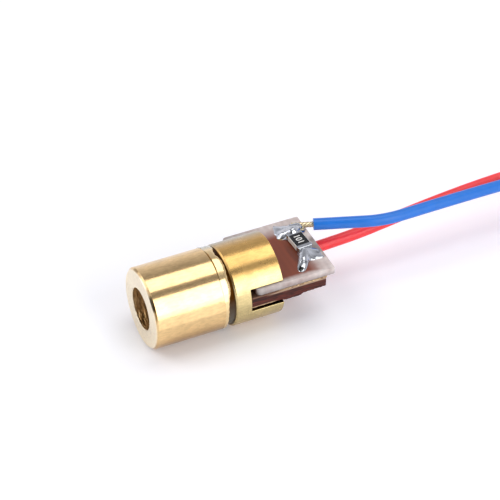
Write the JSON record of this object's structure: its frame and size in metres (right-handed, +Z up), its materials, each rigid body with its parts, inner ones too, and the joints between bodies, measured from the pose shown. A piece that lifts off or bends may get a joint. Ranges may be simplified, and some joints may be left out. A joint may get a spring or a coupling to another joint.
{
  "type": "laser diode module",
  "caption": "Brass laser diode module: a turned lens barrel on a slotted holder, with a small resistor board in the slot and loose power leads.",
  "frame": {"origin": "on the supporting plane, under the middle of the module's length and width, leads apart", "axes": "+X along the beam, out of the front face; +Z up; the module lies on Z = 0 with its board level"},
  "size_m": [0.053, 0.0105, 0.0065],
  "materials": {
    "turned_brass": "polished, with fine turning marks",
    "lens_acrylic": "clear moulded",
    "clear_adhesive": "clear glossy",
    "glass_laminate": "translucent natural laminate",
    "phenolic_backing": "sawn brown phenolic paper",
    "gold_foil": "gold flash on copper",
    "bare_copper": "rolled",
    "tin_solder": "bright, reflowed by hand",
    "alumina": "fired white ceramic",
    "black_overglaze": "black glaze",
    "laser_die": "cleaved crystal",
    "blue_pvc": "glossy extruded",
    "red_pvc": "glossy extruded",
    "white_tie": "satin"
  },
  "bodies": {
    "root": {"lens_barrel": "turned_brass", "collimating_lens": "lens_acrylic", "lens_adhesive": "clear_adhesive", "diode_holder": "turned_brass", "joint_adhesive": "clear_adhesive", "heat_tongue": "bare_copper", "backing_board": "phenolic_backing", "bond_foil": "gold_foil", "circuit_board": "glass_laminate", "far_pad": "tin_solder", "near_pad": "tin_solder", "resistor_body": "alumina", "resistor_terminals": "tin_solder", "resistor_coat": "black_overglaze", "far_solder": "tin_solder", "near_solder": "tin_solder", "laser_submount": "gold_foil", "laser_chip": "laser_die", "bond_wire": "gold_foil", "blue_conductor": "tin_solder", "red_conductor": "tin_solder", "red_solder": "tin_solder", "blue_wire": "blue_pvc", "red_wire": "red_pvc", "lead_hank": "blue_pvc", "lead_tie": "white_tie", "blue_tail": "blue_pvc", "red_tail": "red_pvc", "blue_tip": "tin_solder", "red_tip": "tin_solder"}
  },
  "joints": []
}
